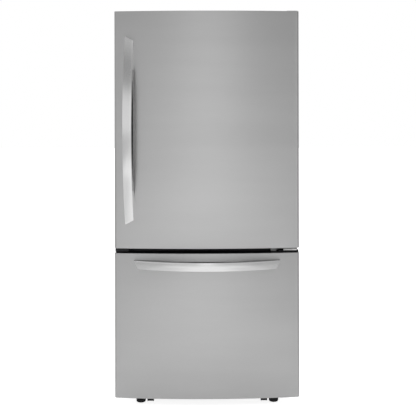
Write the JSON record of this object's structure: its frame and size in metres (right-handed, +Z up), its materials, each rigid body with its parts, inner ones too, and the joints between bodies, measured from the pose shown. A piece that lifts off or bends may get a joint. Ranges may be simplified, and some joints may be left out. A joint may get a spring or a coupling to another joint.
{
  "type": "bottom freezer refrigerator",
  "caption": "Upright refrigerator with one crowned stainless steel door over a pull-out bottom freezer drawer, arched bar handles, shelves, crispers and a rear machine compartment.",
  "frame": {"origin": "on the floor under the middle of the bounding box", "axes": "+Z up, the door and drawer face -Y, +X to the right of someone facing the front"},
  "size_m": [0.826, 0.915, 1.778],
  "materials": {
    "brushed_stainless": "brushed",
    "handle_steel": "satin",
    "cabinet_paint": "satin",
    "galvanised": "satin",
    "black_steel": "satin",
    "foam": "matte",
    "liner_white": "gloss",
    "dark_plastic": "matte",
    "white_plastic": "satin",
    "gasket_grey": "matte",
    "clear_plastic": "gloss",
    "shelf_glass": "gloss",
    "fin_aluminium": "satin"
  },
  "bodies": {
    "cabinet": {"cabinet_shell": "cabinet_paint", "cabinet_back": "galvanised", "cabinet_insulation": "foam", "fridge_liner": "liner_white", "freezer_liner": "liner_white", "centre_rail": "cabinet_paint", "base_frame": "galvanised", "machine_cover": "galvanised", "cord_gland": "dark_plastic", "compressor": "black_steel", "condenser_coil": "black_steel", "condenser_fan_motor": "dark_plastic", "drain_pan": "dark_plastic", "top_hinge": "galvanised", "top_hinge_cover": "cabinet_paint", "middle_hinge": "galvanised", "evaporator": "fin_aluminium", "evaporator_cover": "liner_white", "air_duct": "white_plastic", "control_panel": "white_plastic", "crisper_cover": "white_plastic", "lower_shelf": "white_plastic", "upper_shelf": "white_plastic", "shelf_glass": "shelf_glass", "slide_rails": "galvanised"},
    "fridge_door": {"door_skin": "brushed_stainless", "door_caps": "dark_plastic", "door_insulation": "foam", "door_liner": "liner_white", "door_gasket": "gasket_grey", "door_handle": "handle_steel", "door_bin_lower": "clear_plastic", "door_bin_upper": "clear_plastic", "dairy_bin": "clear_plastic"},
    "dairy_lid": {"dairy_cover": "clear_plastic"},
    "freezer_drawer": {"drawer_skin": "brushed_stainless", "drawer_caps": "dark_plastic", "drawer_insulation": "foam", "drawer_liner": "liner_white", "drawer_gasket": "gasket_grey", "drawer_handle": "handle_steel", "drawer_frame": "galvanised", "freezer_basket": "white_plastic"},
    "drawer_slides": {"slide_members": "galvanised"},
    "stabiliser": {"stabiliser_bar": "galvanised"},
    "upper_tray": {"freezer_tray": "clear_plastic"},
    "crisper_drawer_left": {"crisper_left": "clear_plastic"},
    "crisper_drawer_right": {"crisper_right": "clear_plastic"},
    "humidity_control_left": {"humidity_slider_left": "dark_plastic"},
    "humidity_control_right": {"humidity_slider_right": "dark_plastic"},
    "button": {"control_button": "dark_plastic"},
    "air_damper": {"damper_flap": "white_plastic"},
    "condenser_fan": {"condenser_fan_blade": "dark_plastic"},
    "freezer_fan": {"evaporator_fan_blade": "white_plastic"},
    "front_wheel_left": {"front_roller_left": "dark_plastic"},
    "front_wheel_right": {"front_roller_right": "dark_plastic"},
    "rear_wheel_left": {"rear_roller_left": "dark_plastic"},
    "rear_wheel_right": {"rear_roller_right": "dark_plastic"},
    "foot_left": {"levelling_foot_left": "dark_plastic"},
    "foot_right": {"levelling_foot_right": "dark_plastic"}
  },
  "joints": [
    {"name": "fridge_door_hinge", "type": "hinge", "parent": "cabinet", "child": "fridge_door", "pos_m": [0.389, -0.33348, 0.7105], "axis": [0, 0, 1], "range_deg": [0, 120]},
    {"name": "dairy_lid_hinge", "type": "hinge", "parent": "fridge_door", "child": "dairy_lid", "pos_m": [0, -0.28518, 1.524], "axis": [1, 0, 0], "range_deg": [0, 80]},
    {"name": "crisper_left_slide", "type": "slide", "parent": "cabinet", "child": "crisper_drawer_left", "axis": [0, -1, 0], "range_m": [0, 0.24]},
    {"name": "crisper_right_slide", "type": "slide", "parent": "cabinet", "child": "crisper_drawer_right", "axis": [0, -1, 0], "range_m": [0, 0.24]},
    {"name": "humidity_left_slide", "type": "slide", "parent": "cabinet", "child": "humidity_control_left", "axis": [1, 0, 0], "range_m": [-0.016, 0.016]},
    {"name": "humidity_right_slide", "type": "slide", "parent": "cabinet", "child": "humidity_control_right", "axis": [1, 0, 0], "range_m": [-0.016, 0.016]},
    {"name": "control_button_slide", "type": "slide", "parent": "cabinet", "child": "button", "axis": [0, 1, 0], "range_m": [0, 0.0015], "stiffness_N_per_m": 300},
    {"name": "freezer_drawer_slide", "type": "slide", "parent": "cabinet", "child": "freezer_drawer", "axis": [0, -1, 0], "range_m": [0, 0.38]},
    {"name": "slide_members_slide", "type": "slide", "parent": "cabinet", "child": "drawer_slides", "axis": [0, -1, 0], "range_m": [0, 0.19]},
    {"name": "freezer_tray_slide", "type": "slide", "parent": "cabinet", "child": "upper_tray", "axis": [0, -1, 0], "range_m": [0, 0.304]},
    {"name": "stabiliser_spin", "type": "hinge", "parent": "freezer_drawer", "child": "stabiliser", "pos_m": [0, 0.12652, 0.1515], "axis": [1, 0, 0], "range_deg": [0, 1556]},
    {"name": "air_damper_hinge", "type": "hinge", "parent": "cabinet", "child": "air_damper", "pos_m": [0, 0.38153, 0.69975], "axis": [1, 0, 0], "range_deg": [0, 80]},
    {"name": "condenser_fan_spin", "type": "hinge", "parent": "cabinet", "child": "condenser_fan", "pos_m": [0.07, 0.33953, 0.1695], "axis": [1, 0, 0], "continuous": true},
    {"name": "freezer_fan_spin", "type": "hinge", "parent": "cabinet", "child": "freezer_fan", "pos_m": [0, 0.32053, 0.59375], "axis": [0, 1, 0], "continuous": true},
    {"name": "front_wheel_left_spin", "type": "hinge", "parent": "cabinet", "child": "front_wheel_left", "pos_m": [-0.258, -0.27847, 0.0195], "axis": [1, 0, 0], "continuous": true},
    {"name": "rear_wheel_left_spin", "type": "hinge", "parent": "cabinet", "child": "rear_wheel_left", "pos_m": [-0.34, 0.39553, 0.02], "axis": [1, 0, 0], "continuous": true},
    {"name": "foot_left_screw", "type": "hinge", "parent": "cabinet", "child": "foot_left", "pos_m": [-0.302, -0.28097, 0], "axis": [0, 0, 1], "range_deg": [-180, 180]},
    {"name": "front_wheel_right_spin", "type": "hinge", "parent": "cabinet", "child": "front_wheel_right", "pos_m": [0.258, -0.27847, 0.0195], "axis": [1, 0, 0], "continuous": true},
    {"name": "rear_wheel_right_spin", "type": "hinge", "parent": "cabinet", "child": "rear_wheel_right", "pos_m": [0.34, 0.39553, 0.02], "axis": [1, 0, 0], "continuous": true},
    {"name": "foot_right_screw", "type": "hinge", "parent": "cabinet", "child": "foot_right", "pos_m": [0.302, -0.28097, 0], "axis": [0, 0, 1], "range_deg": [-180, 180]}
  ],
  "couplings": [
    {"joint": "crisper_left_slide", "follows": "fridge_door_hinge", "m_per_rad": 0.1145},
    {"joint": "crisper_right_slide", "follows": "fridge_door_hinge", "m_per_rad": 0.1145},
    {"joint": "slide_members_slide", "follows": "freezer_drawer_slide", "ratio": 0.5},
    {"joint": "freezer_tray_slide", "follows": "freezer_drawer_slide", "ratio": 0.8},
    {"joint": "stabiliser_spin", "follows": "freezer_drawer_slide", "rad_per_m": 71.429}
  ]
}
